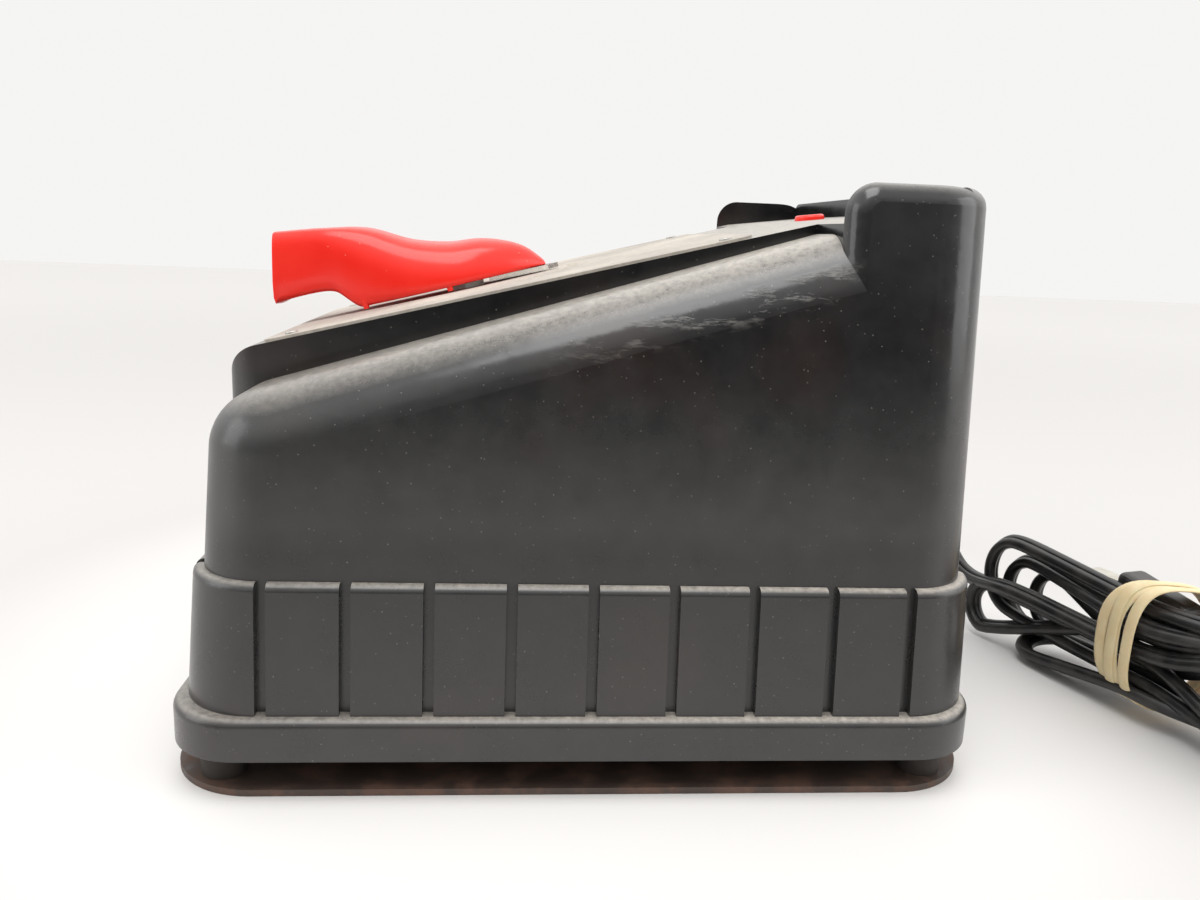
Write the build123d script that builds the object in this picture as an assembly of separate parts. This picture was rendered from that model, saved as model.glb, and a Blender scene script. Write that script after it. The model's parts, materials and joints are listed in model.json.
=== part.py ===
# Bench battery charger: a moulded black phenolic cover on a pressed steel base plate, with a red
# charge-rate lever on the sloping deck, a red reset button, a mains transformer, a rectifier and
# a hanked flat mains cord.
# Millimetres. X is the width, Y runs from the low front edge to the tall rear wall, Z is up.
# The origin is at the middle of the object, on the surface that it stands on.
from build123d import *
from math import cos, radians, sin, tan
import os

# Overall sizes
length = 240.0              # skirt, front to rear
width = 240.0               # skirt, side to side

# Base plate, spacers and screws
plate_thickness = 2.0
plate_overhang = 1.0        # beyond the skirt at the front and the rear
plate_side_inset = 3.0
plate_corner = 26.0
spacer_height = 10.2
spacer_radius = 6.5
corner_fixing_inset = 15.0  # screw centre to the skirt's side and end faces
screw_radius = 2.0
screw_head_radius = 3.8
screw_engagement = 12.0     # in the cover's corner boss
boss_radius = 5.5

# Cover
wall = 4.0
skirt_height = 12.3
skirt_corner = 22.0
skirt_rounding = 2.5
band_height = 37.6          # the ribbed band above the skirt
band_inset = 3.2            # band face to skirt face
panel_proud = 3.0           # band panels stand proud of the wall above
panel_rounding = 2.4
body_corner = 20.0
rear_shift = 2.2            # the walls stand this much further back than centred on the skirt
side_draft = 5.1            # degrees
front_draft = 2.9
groove_pitch = 23.2
groove_width = 3.2
groove_count = 9
groove_shift = 1.5          # pattern centre on the sides, towards the rear

# Sloping top: the shoulders and the raised deck between them
slope_start = 20.0          # the reference heights are this far behind the skirt's front
shoulder_start_height = 111.8
shoulder_slope = 16.7       # degrees
shoulder_rounding = 18.0
deck_start_height = 123.4
deck_slope = 14.0
deck_rear_slope = 7.0
deck_half_width = 69.0
deck_corner = 9.0
deck_nose_rounding = 12.0
deck_front_proud = 1.6      # the nose stands proud of the front wall at the shoulder
deck_nose_depth = 34.0      # the nose fades into the front wall this far below the deck

# Rear rim: a cheek on each side and a rear parapet
cheek_length = 46.0         # front face of the cheek to the rear wall
cheek_thickness = 5.0
cheek_rounding = 6.0
cheek_nose_rounding = 9.0
parapet_thickness = 9.0
rim_rise = 6.6              # over the deck at the parapet
deck_break = 41.0           # the deck's slope eases this far in front of the rear wall

# Scale plate on the deck
scale_thickness = 0.8
scale_margin = 1.2          # to the deck's side edges
scale_corner = 6.0
scale_front = 61.0          # ahead of the lever's pivot, along the deck
scale_rear = 95.0           # behind the pivot
rivet_radius = 2.0
rivet_head = 0.7
rivet_inset = 8.0

# Lever, shaft and switch. Their own frame stands on the deck at the pivot: local X is the width,
# local Y runs up the slope, local Z is square to the deck.
pivot_from_front = 79.0
shaft_radius = 3.0
shaft_clearance = 0.05
shaft_top = 11.0
shaft_depth = 34.0
lever_wall = 2.2
lever_gap = 3.0             # lever's underside to the deck
lever_boss_radius = 6.0
lever_front = 62.0          # pivot to the top of the handle's end
lever_rear = 31.0           # pivot to the tip
handle_half_width = 12.5
hub_half_width = 17.5
pointer_width = 13.0
pointer_thickness = 1.7
pointer_reach = 4.0         # beyond the lever's tip
pointer_root = 22.0         # under the lever
pointer_point = 1.6         # width of the blunt tip
bushing_radius = 5.0
bushing_flange = 3.0        # the shoulder under the deck stands out this much
bushing_nut_radius = 7.5
bushing_nut_height = 1.8
contact_disc_radius = 27.0
contact_disc_thickness = 3.0
contact_disc_drop = 14.0    # below the deck
contact_count = 7
contact_spacing = 20.0      # degrees
contact_circle = 20.0
contact_radius = 2.6
contact_stand = 1.2
wiper_thickness = 1.0
wiper_width = 8.0
wiper_gap = 0.3             # arm to the contact studs
wiper_collar_radius = 6.0
wiper_collar_height = 6.0

# Reset button and breaker at the rear of the deck
button_radius = 5.5
button_clearance = 0.08
button_stand = 2.0
button_thickness = 4.2
button_rounding = 1.2
button_stem_radius = 2.0
button_from_rear = 29.0
breaker_width = 30.0
breaker_length = 16.0
breaker_depth = 26.0

# Output terminals, in a recess of the rear wall
recess_width = 70.0
recess_height = 24.0
recess_depth = 13.0
recess_centre_height = 108.0
recess_lip = 2.5
board_thickness = 4.0
board_margin = 8.0
terminal_spacing = 40.0
terminal_screw_radius = 2.5
terminal_head_radius = 5.5
terminal_head_height = 4.0
terminal_washer_radius = 7.0
terminal_washer_thickness = 1.2
terminal_shank_behind = 8.0
terminal_slot_depth = 1.4
terminal_slot_width = 1.2

# Transformer on the base plate
core_width = 84.0
core_height = 70.0
core_stack = 45.0
core_leg = 28.0
core_window = 14.0
core_yoke = 14.0
core_rear_gap = 58.0        # core's middle to the rear wall
bobbin_wall = 1.5
bobbin_gap = 0.2
bobbin_flange_rim = 0.5     # the flanges stand this much past the windings
primary_build = 6.0
secondary_build = 5.0
strap_thickness = 1.6
strap_width = 30.0
strap_foot = 14.0
bolt_radius = 2.5
bolt_head_radius = 4.5
bolt_head_height = 3.2
bolt_end_gap = 0.2          # the bolt's end stops short of the plate's underside

# Rectifier: a heat-sink plate with its diodes, in front of the transformer
sink_width = 90.0
sink_height = 55.0
sink_thickness = 3.0
sink_foot = 18.0
sink_from_front = 62.0
diode_radius = 6.3
diode_height = 6.0
diode_spacing = 21.0
diode_count = 4
diode_stud_radius = 2.5
diode_nut_radius = 4.6
diode_nut_height = 3.0
diode_stud_end = 1.0        # stud beyond its nut
diode_lead_radius = 1.0
diode_lead_length = 9.0

# Mains cord: flat twin flex, hanked and held by a rubber band
cord_width = 7.0
cord_exit_panel = -1.5       # the panel of the rear band that the cord leaves, from the middle
cord_exit_height = 45.0
relief_length = 30.0
relief_radius = 6.2
relief_tip_radius = 4.4
relief_flange_radius = 9.0
relief_flange_thickness = 2.0
hank_centre = (68.0, 207.0)
hank_angle = 14.0
hank_half_length = 72.0
band_width = 16.0
band_thickness = 2.0
plug_length = 30.0
plug_width = 24.0
plug_thickness = 13.0
plug_height = 44.2          # middle of the plug, as it lies on the hank
plug_rear = 8.0             # the plug's rear end, past the middle of the hank
plug_rounding = 4.0
plug_sleeve_length = 18.0
plug_sleeve_radius = 5.5
plug_sleeve_tip_radius = 4.0
plug_sleeve_root = 1.0      # sleeve inside the plug
blade_length = 16.0
blade_height = 6.3
blade_thickness = 1.5
blade_spacing = 12.7

hank_sections = (           # along the hank: width, height and middle height
    (-72.0, 14.0, 20.0, 20.0),
    (-62.0, 26.0, 44.0, 23.5),
    (-40.0, 30.0, 39.0, 21.5),
    (-10.0, 26.0, 30.0, 20.0),
    (10.0, 26.0, 30.0, 20.0),
    (30.0, 30.0, 45.0, 24.0),
    (60.0, 26.0, 43.0, 23.0),
    (72.0, 14.0, 22.0, 20.0),
)
hank_rounding = 6.5
cord_bends = (              # the free run's turning points, after it leaves the strain relief
    (-34.8, 163.0, 45.0),
    (-31.0, 176.0, 38.0),
    (-24.0, 183.0, 29.0),
    (-13.5, 186.7, 22.0),
)

# Heights and places that follow from the sizes above
skirt_bottom = plate_thickness + spacer_height
skirt_top = skirt_bottom + skirt_height
band_top = skirt_top + band_height
body_inset = band_inset + panel_proud
rear_face = length / 2 - body_inset + rear_shift
band_rear_face = rear_face + panel_proud
cheek_face = rear_face - cheek_length
break_face = rear_face - deck_break
parapet_face = rear_face - parapet_thickness
slope_origin = -length / 2 + slope_start
pivot_y = -length / 2 + pivot_from_front
fixing_x = width / 2 - corner_fixing_inset
fixing_y = length / 2 - corner_fixing_inset
button_y = rear_face - button_from_rear
core_y = rear_face - core_rear_gap
sink_y = -length / 2 + sink_from_front
board_face = rear_face - recess_depth
cord_exit_x = cord_exit_panel * groove_pitch
relief_tip = band_rear_face + relief_length
far = 2 * max(length, width)


def save(node, shape):
    """Write one piece to its own STEP file."""
    solids = shape.solids()
    piece = solids[0] if len(solids) == 1 else Compound(solids)
    export_step(piece, f"parts/{node}.step")


def shoulder_z(y):
    return shoulder_start_height + (y - slope_origin) * tan(radians(shoulder_slope))


def deck_z(y):
    return deck_start_height + (y - slope_origin) * tan(radians(deck_slope))


def deck_rear_z(y):
    return deck_z(break_face) + (y - break_face) * tan(radians(deck_rear_slope))


def sloping_plane(y, z, slope):
    """A frame on the deck: local Y runs up the slope and local Z is square to it."""
    tilt = radians(slope)
    return Plane(origin=(0, y, z), x_dir=(1, 0, 0), z_dir=(0, -sin(tilt), cos(tilt)))


rim_top = deck_rear_z(parapet_face) + rim_rise
cheek_inside = width / 2 - body_inset - (rim_top - skirt_top) * tan(radians(side_draft)) - cheek_thickness
wall_drop = wall / cos(radians(shoulder_slope))
deck_drop = wall / cos(radians(deck_slope))
nose_y = -length / 2 + body_inset + (shoulder_start_height - skirt_top) * tan(radians(front_draft))
nose_y = nose_y - deck_front_proud
pivot_plane = sloping_plane(pivot_y, deck_z(pivot_y), deck_slope)
button_plane = sloping_plane(button_y, deck_rear_z(button_y), deck_rear_slope)
hank_plane = Plane(
    origin=(hank_centre[0], hank_centre[1], 0),
    x_dir=(cos(radians(hank_angle)), sin(radians(hank_angle)), 0),
    z_dir=(0, 0, 1),
)


def at(plane, shape):
    """Move a shape from a local frame to its place."""
    return plane.location * shape


def block(x, y, z):
    """A box between two values along each axis."""
    middle = Pos((x[0] + x[1]) / 2, (y[0] + y[1]) / 2, (z[0] + z[1]) / 2)
    return middle * Box(x[1] - x[0], y[1] - y[0], z[1] - z[0])


def disc(radius, bottom, top):
    """An upright cylinder on the local Z axis."""
    return Pos(0, 0, (bottom + top) / 2) * Cylinder(radius, top - bottom)


def group(shape, places):
    """Copies of one piece at several places."""
    return Compound([Location(place) * shape for place in places])


def corners():
    return [(x, y) for x in (-fixing_x, fixing_x) for y in (-fixing_y, fixing_y)]


def front_y(z, inset):
    return -length / 2 + inset + (z - skirt_top) * tan(radians(front_draft))


def section(z, inset, corner):
    """The cover's plan outline at a height."""
    half = width / 2 - inset - (z - skirt_top) * tan(radians(side_draft))
    front = front_y(z, inset)
    rear = length / 2 - inset + rear_shift
    return Pos(0, (front + rear) / 2, z) * RectangleRounded(2 * half, rear - front, corner)


def drafted(bottom, top, inset, corner):
    """A block with the cover's drafted walls."""
    return loft([section(bottom, inset, corner), section(top, inset, corner)], ruled=True)


def side_prism(points, half):
    """A closed profile of (y, z) points, extruded both ways along X."""
    outline = Plane.YZ * make_face(Polyline(*points, close=True))
    return extrude(outline, half, both=True)


def shoulder_block(inset, corner, rounding, drop, rear):
    """The walls up to the sloping shoulders, whose upper edges are rounded."""
    profile = [(-far, 0), (-far, shoulder_z(-far) - drop), (rear, shoulder_z(rear) - drop), (rear, 0)]
    body = drafted(skirt_top, rim_top, inset, corner) & side_prism(profile, far)
    upper = [
        edge for edge in body.edges()
        if abs(edge.center().Z - shoulder_z(edge.center().Y) + drop) < 0.6 and edge.center().Y < rear - 1
    ]
    return fillet(upper, rounding)


def rear_block():
    """The tall rear: two cheeks and a parapet round the end of the deck."""
    body = drafted(skirt_top, rim_top, body_inset, body_corner)
    body = body & block((-far, far), (cheek_face, far), (skirt_top, far))
    brow = body.edges().filter_by(Axis.X).sort_by(Axis.Z)[-2:].sort_by(Axis.Y)[0]
    body = fillet(brow, cheek_nose_rounding)
    rim = [edge for edge in body.edges().filter_by(Axis.Y) if edge.center().Z > rim_top - 1]
    body = fillet(rim, cheek_rounding)
    floor = [
        (cheek_face - 1, deck_z(cheek_face - 1)),
        (break_face, deck_z(break_face)),
        (parapet_face, deck_rear_z(parapet_face)),
        (parapet_face, rim_top + 1),
        (cheek_face - 1, rim_top + 1),
    ]
    return body - side_prism(floor, cheek_inside)


def raised_deck():
    """The plateau between the shoulders, with a rounded nose that fades into the front wall."""
    nose_bottom = deck_z(nose_y) - deck_nose_depth
    foot = front_y(nose_bottom, body_inset)
    rear = cheek_face + wall
    profile = [
        (nose_y, deck_z(nose_y)),
        (rear, deck_z(rear)),
        (rear, shoulder_z(rear) - wall_drop),
        (foot + deck_nose_depth, nose_bottom),
        (foot + 0.3, nose_bottom),
        (nose_y, shoulder_z(nose_y)),
    ]
    body = side_prism(profile, deck_half_width)
    nose = [
        edge for edge in body.edges().filter_by(Axis.X)
        if abs(edge.center().Y - nose_y) < 0.1 and edge.center().Z > deck_z(nose_y) - 1
    ]
    body = fillet(nose, deck_nose_rounding)
    plan_length = rear - nose_y + 2 * deck_corner
    plan = Pos(0, nose_y + plan_length / 2) * RectangleRounded(2 * deck_half_width, plan_length, deck_corner)
    return body & extrude(plan, far)


def cavity():
    """The hollow inside the cover, open at the bottom."""
    inset = body_inset + wall
    corner = body_corner - wall
    outline = RectangleRounded(width - 2 * wall, length - 2 * wall, skirt_corner - wall)
    low = extrude(Pos(0, 0, skirt_bottom - 1) * outline, skirt_height - wall + 1)
    foot = extrude(section(skirt_top, inset, corner), -skirt_height - 1)
    walls = foot & block((-far, far), (-far, far), (0, far))
    front = shoulder_block(inset, corner, shoulder_rounding - wall, wall_drop, cheek_face + wall)
    ceiling = [
        (cheek_face + wall - 1, 0),
        (cheek_face + wall - 1, deck_z(cheek_face + wall - 1) - deck_drop),
        (break_face, deck_z(break_face) - deck_drop),
        (far, deck_rear_z(far) - deck_drop),
        (far, 0),
    ]
    rear = drafted(skirt_top, rim_top, inset, corner) & side_prism(ceiling, far)
    nose_inside = nose_y + wall + 1
    pocket = [
        (nose_inside, deck_z(nose_inside) - deck_drop - deck_nose_rounding),
        (nose_inside + deck_nose_rounding, deck_z(nose_inside + deck_nose_rounding) - deck_drop),
        (cheek_face + wall, deck_z(cheek_face + wall) - deck_drop),
        (cheek_face + wall, shoulder_z(cheek_face + wall) - 2 * wall_drop),
        (nose_inside + deck_nose_rounding, shoulder_z(nose_inside) - 2 * wall_drop),
        (nose_inside, shoulder_z(nose_inside) - deck_nose_rounding),
    ]
    return low + walls + front + rear + side_prism(pocket, deck_half_width - wall)


def grooves():
    """The slots between the panels of the ribbed band, on all four sides."""
    offsets = [(index - (groove_count - 1) / 2) * groove_pitch for index in range(groove_count)]
    span = (skirt_top, band_top + 1)
    slots = []
    for offset in offsets:
        y = offset + groove_shift
        slots.append(block((-far, far), (y - groove_width / 2, y + groove_width / 2), span))
        slots.append(block((offset - groove_width / 2, offset + groove_width / 2), (-far, far), span))
    return slots


def cover():
    """The moulded cover: skirt, ribbed band, walls, shoulders, raised deck and rear rim."""
    outline = Pos(0, 0, skirt_bottom) * RectangleRounded(width, length, skirt_corner)
    skirt = extrude(outline, skirt_height)
    skirt = fillet(skirt.faces().sort_by(Axis.Z)[-1].edges(), skirt_rounding)
    band = drafted(skirt_top - 1, band_top, band_inset, body_corner + panel_proud)
    band = fillet(band.faces().sort_by(Axis.Z)[-1].edges(), panel_rounding)
    for slot in grooves():
        band -= slot
    body = shoulder_block(body_inset, body_corner, shoulder_rounding, 0, cheek_face + 2 * wall)
    shell = skirt + body + rear_block() + raised_deck() + band
    shell -= cavity()
    boss_top = skirt_bottom + screw_engagement + wall
    for x, y in corners():
        boss = Pos(x, y, 0) * disc(boss_radius, skirt_bottom, boss_top)
        shell += boss
        shell -= Pos(x, y, 0) * disc(screw_radius, skirt_bottom - 1, skirt_bottom + screw_engagement)
    tunnel_x = recess_width / 2
    tunnel_z = (recess_centre_height - recess_height / 2, recess_centre_height + recess_height / 2)
    shell += block(
        (-tunnel_x - recess_lip, tunnel_x + recess_lip),
        (board_face, rear_face - wall / 2),
        (tunnel_z[0] - recess_lip, tunnel_z[1] + recess_lip),
    )
    shell -= block((-tunnel_x, tunnel_x), (board_face - 1, rear_face + 1), tunnel_z)
    shell -= at(pivot_plane, disc(bushing_radius, -4 * wall, wall))
    shell -= at(button_plane, disc(button_radius + button_clearance, -2 * wall, wall))
    hole = Pos(cord_exit_x, band_rear_face, cord_exit_height) * Rot(90, 0, 0)
    shell -= hole * disc(relief_radius, -1, 4 * wall)
    return shell


def base_plate():
    outline = RectangleRounded(width - 2 * plate_side_inset, length + 2 * plate_overhang, plate_corner)
    plate = extrude(outline, plate_thickness)
    for x, y in corners():
        plate -= Pos(x, y, 0) * base_screw()
    for x, y in bolt_places():
        plate -= Pos(x, y, 0) * disc(bolt_radius, -1, plate_thickness + 1)
    return plate


def spacer():
    body = disc(spacer_radius, plate_thickness, skirt_bottom)
    return body - disc(screw_radius, 0, far)


def base_screw():
    """A flat-headed screw, its head flush in the base plate."""
    head = Pos(0, 0, plate_thickness / 2) * Cone(screw_head_radius, screw_radius, plate_thickness)
    return head + disc(screw_radius, plate_thickness / 2, skirt_bottom + screw_engagement)


def scale_outline():
    middle = (scale_rear - scale_front) / 2
    half = deck_half_width - scale_margin
    return Pos(0, middle) * RectangleRounded(2 * half, scale_front + scale_rear, scale_corner)


def rivet_places():
    half = deck_half_width - scale_margin - rivet_inset
    return [(x, y, 0) for x in (-half, half) for y in (-scale_front + rivet_inset, scale_rear - rivet_inset)]


def scale_plate():
    """The sheet plate on the deck, with holes for the bushing and the rivets."""
    plate = extrude(scale_outline(), scale_thickness) - disc(bushing_radius, -1, far)
    for place in rivet_places():
        plate -= Pos(*place) * disc(rivet_radius / 2, -1, far)
    return at(pivot_plane, plate)


def scale_rivets():
    """Round-headed drive rivets, seated on the plate."""
    head = disc(rivet_radius, scale_thickness, scale_thickness + rivet_head)
    head = fillet(head.edges().sort_by(Axis.Z)[-1], rivet_head * 0.8)
    rivet = head + disc(rivet_radius / 2, 0, scale_thickness)
    return at(pivot_plane, group(rivet, rivet_places()))


def lever_profile(inset, open_bottom):
    """The lever's side outline, as (y, z) on the deck."""
    low = -far if open_bottom else 0
    front_foot = 1.8
    top = Spline(
        (-lever_front + inset, 34.5 - inset),
        (-46.0, 32.5 - inset),
        (-30.0, 29.4 - inset),
        (-15.5, 22.2 - inset),
        (-2.5, 18.6 - inset),
        (9.0, 17.4 - inset),
        (19.5, 14.0 - inset),
        (lever_rear - 5.5, 10.2 - inset),
        (lever_rear - inset, lever_gap + 0.8),
    )
    front_low = (-lever_front - 6.4 + inset, 9.4 + low)
    under = [
        top @ 1,
        (lever_rear - inset, lever_gap + low),
        (6.0, lever_gap + low),
        (-37.5 + inset, front_foot + low),
        (-46.0 + inset, 9.9 + low),
        front_low,
        top @ 0,
    ]
    return make_face([top] + [Line(under[i], under[i + 1]) for i in range(len(under) - 1)])


def lever_plan(inset):
    """The lever's outline seen square to the deck."""
    side = Spline(
        (handle_half_width - inset, -lever_front - 10.0 + inset),
        (handle_half_width - inset, -50.0),
        (hub_half_width - 1.0 - inset, -24.0),
        (hub_half_width - inset, -4.0),
        (11.5 - inset, 16.0),
        (2.6 - inset / 2, lever_rear - inset),
    )
    other = mirror(side, Plane.YZ)
    return make_face([side, other, Line(side @ 0, other @ 0), Line(side @ 1, other @ 1)])


def lever_solid(inset, open_bottom):
    outline = Plane.YZ * lever_profile(inset, open_bottom)
    body = extrude(outline, hub_half_width + 1, both=True)
    return body & extrude(Pos(0, 0, -far) * lever_plan(inset), 2 * far)


def selector_lever():
    """The hollow moulded lever, open underneath, with a boss for the shaft."""
    shell = lever_solid(0, False)
    boss = disc(lever_boss_radius, lever_gap, far) & shell
    shell = shell - lever_solid(lever_wall, True) + boss
    return at(pivot_plane, shell - disc(shaft_radius, 0, shaft_top))


def lever_pointer():
    """The clear pointer under the lever's tip."""
    start = lever_rear - pointer_root
    tip = lever_rear + pointer_reach
    half = pointer_width / 2
    point = pointer_point / 2
    corners_of_tip = [(half, tip - half), (point, tip), (-point, tip), (-half, tip - half)]
    outline = make_face(Polyline((-half, start), (half, start), *corners_of_tip, close=True))
    return at(pivot_plane, extrude(Pos(0, 0, lever_gap - pointer_thickness) * outline, pointer_thickness))


def lever_shaft():
    return at(pivot_plane, disc(shaft_radius, -shaft_depth, shaft_top))


def shaft_bushing():
    """The threaded bushing that carries the shaft and the contact disc."""
    top = scale_thickness + bushing_nut_height
    body = disc(bushing_radius, -contact_disc_drop - contact_disc_thickness, top)
    body += disc(bushing_radius + bushing_flange, -2 * wall, -wall)
    return at(pivot_plane, body - disc(shaft_radius + shaft_clearance, -far, far))


def bushing_nut():
    outline = RegularPolygon(bushing_nut_radius, 6) - Circle(bushing_radius)
    return at(pivot_plane, extrude(Pos(0, 0, scale_thickness) * outline, bushing_nut_height))


def contact_disc():
    body = disc(contact_disc_radius, -contact_disc_drop - contact_disc_thickness, -contact_disc_drop)
    return at(pivot_plane, body - disc(bushing_radius, -far, far))


def contact_studs():
    face = -contact_disc_drop - contact_disc_thickness
    stud = Pos(0, contact_circle, 0) * disc(contact_radius, face - contact_stand, face)
    angles = [(index - (contact_count - 1) / 2) * contact_spacing for index in range(contact_count)]
    studs = Compound([Rot(0, 0, angle) * stud for angle in angles])
    return at(pivot_plane, studs)


def wiper_top():
    return -contact_disc_drop - contact_disc_thickness - contact_stand - wiper_gap


def wiper_arm():
    """The spring arm that sweeps the contacts, pressed on its collar."""
    reach = contact_circle + contact_radius
    arm = block((-wiper_width / 2, wiper_width / 2), (0, reach), (wiper_top() - wiper_thickness, wiper_top()))
    arm += disc(wiper_collar_radius, wiper_top() - wiper_thickness, wiper_top())
    return at(pivot_plane, arm - disc(shaft_radius, -far, far))


def wiper_collar():
    top = wiper_top() - wiper_thickness
    body = disc(wiper_collar_radius, top - wiper_collar_height, top)
    return at(pivot_plane, body - disc(shaft_radius, -far, far))


def reset_button():
    cap = disc(button_radius, button_stand - button_thickness, button_stand)
    cap = fillet(cap.edges().sort_by(Axis.Z)[-1], button_rounding)
    stem = disc(button_stem_radius, -3 * wall, button_stand - button_thickness)
    return at(button_plane, cap + stem)


def breaker_body():
    half_x = breaker_width / 2
    half_y = breaker_length / 2
    body = block((-half_x, half_x), (-half_y, half_y), (-wall - breaker_depth, -wall - 0.2))
    return at(button_plane, body - disc(button_stem_radius + button_clearance, -4 * wall, 0))


def terminal_places():
    return [(x, board_face, recess_centre_height) for x in (-terminal_spacing / 2, terminal_spacing / 2)]


def upright_disc(radius, near, far_end):
    """A cylinder along Y, between two distances from its place."""
    return Rot(-90, 0, 0) * disc(radius, near, far_end)


def terminal_board():
    half = recess_width / 2 + board_margin
    low = recess_centre_height - recess_height / 2 - board_margin
    high = recess_centre_height + recess_height / 2 + board_margin
    board = block((-half, half), (board_face - board_thickness, board_face), (low, high))
    for place in terminal_places():
        board -= Pos(*place) * upright_disc(terminal_screw_radius, -far, far)
    return board


def terminal_screws():
    shank_end = -board_thickness - terminal_shank_behind
    shank = upright_disc(terminal_screw_radius, shank_end, terminal_washer_thickness)
    head_top = terminal_washer_thickness + terminal_head_height
    head = upright_disc(terminal_head_radius, terminal_washer_thickness, head_top)
    half_slot = terminal_slot_width / 2
    slot = block((-far, far), (head_top - terminal_slot_depth, head_top + 1), (-half_slot, half_slot))
    return group(shank + head - slot, terminal_places())


def terminal_washers():
    ring = upright_disc(terminal_washer_radius, 0, terminal_washer_thickness)
    ring -= upright_disc(terminal_screw_radius, -1, far)
    return group(ring, terminal_places())


def ring_block(outer, inner, z):
    """A rectangular ring round the core's middle leg."""
    hole = block((-inner[0] / 2, inner[0] / 2), (core_y - inner[1] / 2, core_y + inner[1] / 2), (0, far))
    return block((-outer[0] / 2, outer[0] / 2), (core_y - outer[1] / 2, core_y + outer[1] / 2), z) - hole


def window_z():
    return (plate_thickness + core_yoke, plate_thickness + core_height - core_yoke)


def bobbin_size():
    grow = 2 * (bobbin_gap + bobbin_wall)
    return (core_leg + grow, core_stack + grow)


def transformer_core():
    core = block(
        (-core_width / 2, core_width / 2),
        (core_y - core_stack / 2, core_y + core_stack / 2),
        (plate_thickness, plate_thickness + core_height),
    )
    for side in (-1, 1):
        middle = side * (core_leg + core_window) / 2
        core -= block((middle - core_window / 2, middle + core_window / 2), (-far, far), window_z())
    return core


def winding_bobbin():
    inner = (core_leg + 2 * bobbin_gap, core_stack + 2 * bobbin_gap)
    low, high = window_z()
    low, high = low + bobbin_gap, high - bobbin_gap
    spread = 2 * (primary_build + secondary_build + bobbin_flange_rim)
    flange = (bobbin_size()[0] + spread, bobbin_size()[1] + spread)
    body = ring_block(bobbin_size(), inner, (low, high))
    body += ring_block(flange, inner, (low, low + bobbin_wall))
    return body + ring_block(flange, inner, (high - bobbin_wall, high))


def winding(start, build):
    low, high = window_z()
    inner = (bobbin_size()[0] + 2 * start, bobbin_size()[1] + 2 * start)
    outer = (inner[0] + 2 * build, inner[1] + 2 * build)
    edge = bobbin_gap + bobbin_wall
    return ring_block(outer, inner, (low + edge, high - edge))


def bolt_places():
    x = core_width / 2 + strap_thickness + strap_foot / 2
    return [(-x, core_y), (x, core_y)]


def transformer_strap():
    """A bent strap over the core, bolted down at its two feet."""
    side = core_width / 2
    outer = side + strap_thickness
    foot = outer + strap_foot
    low = plate_thickness
    top = low + core_height
    profile = [
        (-foot, low), (-side, low), (-side, top), (side, top), (side, low), (foot, low),
        (foot, low + strap_thickness), (outer, low + strap_thickness), (outer, top + strap_thickness),
        (-outer, top + strap_thickness), (-outer, low + strap_thickness), (-foot, low + strap_thickness),
    ]
    outline = Plane.XZ.offset(-core_y) * make_face(Polyline(*profile, close=True))
    strap = extrude(outline, strap_width / 2, both=True)
    for x, y in bolt_places():
        strap -= Pos(x, y, 0) * disc(bolt_radius, 0, far)
    return strap


def transformer_bolts():
    foot = plate_thickness + strap_thickness
    bolt = disc(bolt_radius, bolt_end_gap, foot) + disc(bolt_head_radius, foot, foot + bolt_head_height)
    return group(bolt, [(x, y, 0) for x, y in bolt_places()])


def diode_places():
    start = -(diode_count - 1) / 2 * diode_spacing
    height = plate_thickness + sink_height * 0.6
    return [(start + index * diode_spacing, sink_y, height) for index in range(diode_count)]


def heat_sink():
    """An angle plate that stands on the base plate and carries the diodes."""
    half = sink_width / 2
    low = plate_thickness
    plate = block((-half, half), (sink_y - sink_thickness, sink_y), (low, low + sink_height))
    plate += block((-half, half), (sink_y - sink_foot, sink_y), (low, low + sink_thickness))
    for place in diode_places():
        plate -= Pos(*place) * upright_disc(diode_stud_radius, -far, far)
    return plate


def diodes():
    body = upright_disc(diode_radius, 0, diode_height)
    stud = upright_disc(diode_stud_radius, -sink_thickness - diode_nut_height - diode_stud_end, 0)
    lead = upright_disc(diode_lead_radius, diode_height, diode_height + diode_lead_length)
    return group(body + stud + lead, diode_places())


def diode_nuts():
    outline = RegularPolygon(diode_nut_radius, 6) - Circle(diode_stud_radius)
    nut = Rot(90, 0, 0) * extrude(Pos(0, 0, sink_thickness) * outline, diode_nut_height)
    return group(nut, diode_places())


def strain_relief():
    """The tapered sleeve in the rear wall that the flex comes out of."""
    taper = relief_length - relief_flange_thickness
    cone = Pos(0, 0, relief_flange_thickness + taper / 2) * Cone(relief_radius, relief_tip_radius, taper)
    sleeve = disc(relief_radius, -panel_proud - wall, 0)
    flange = disc(relief_flange_radius, 0, relief_flange_thickness)
    return Pos(cord_exit_x, band_rear_face, cord_exit_height) * Rot(-90, 0, 0) * (sleeve + flange + cone)


def cord_route():
    end = hank_plane.from_local_coords(Vector(-hank_half_length, 0, hank_sections[0][3]))
    start = Vector(cord_exit_x, relief_tip, cord_exit_height)
    return [start] + [Vector(*point) for point in cord_bends] + [end]


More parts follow.
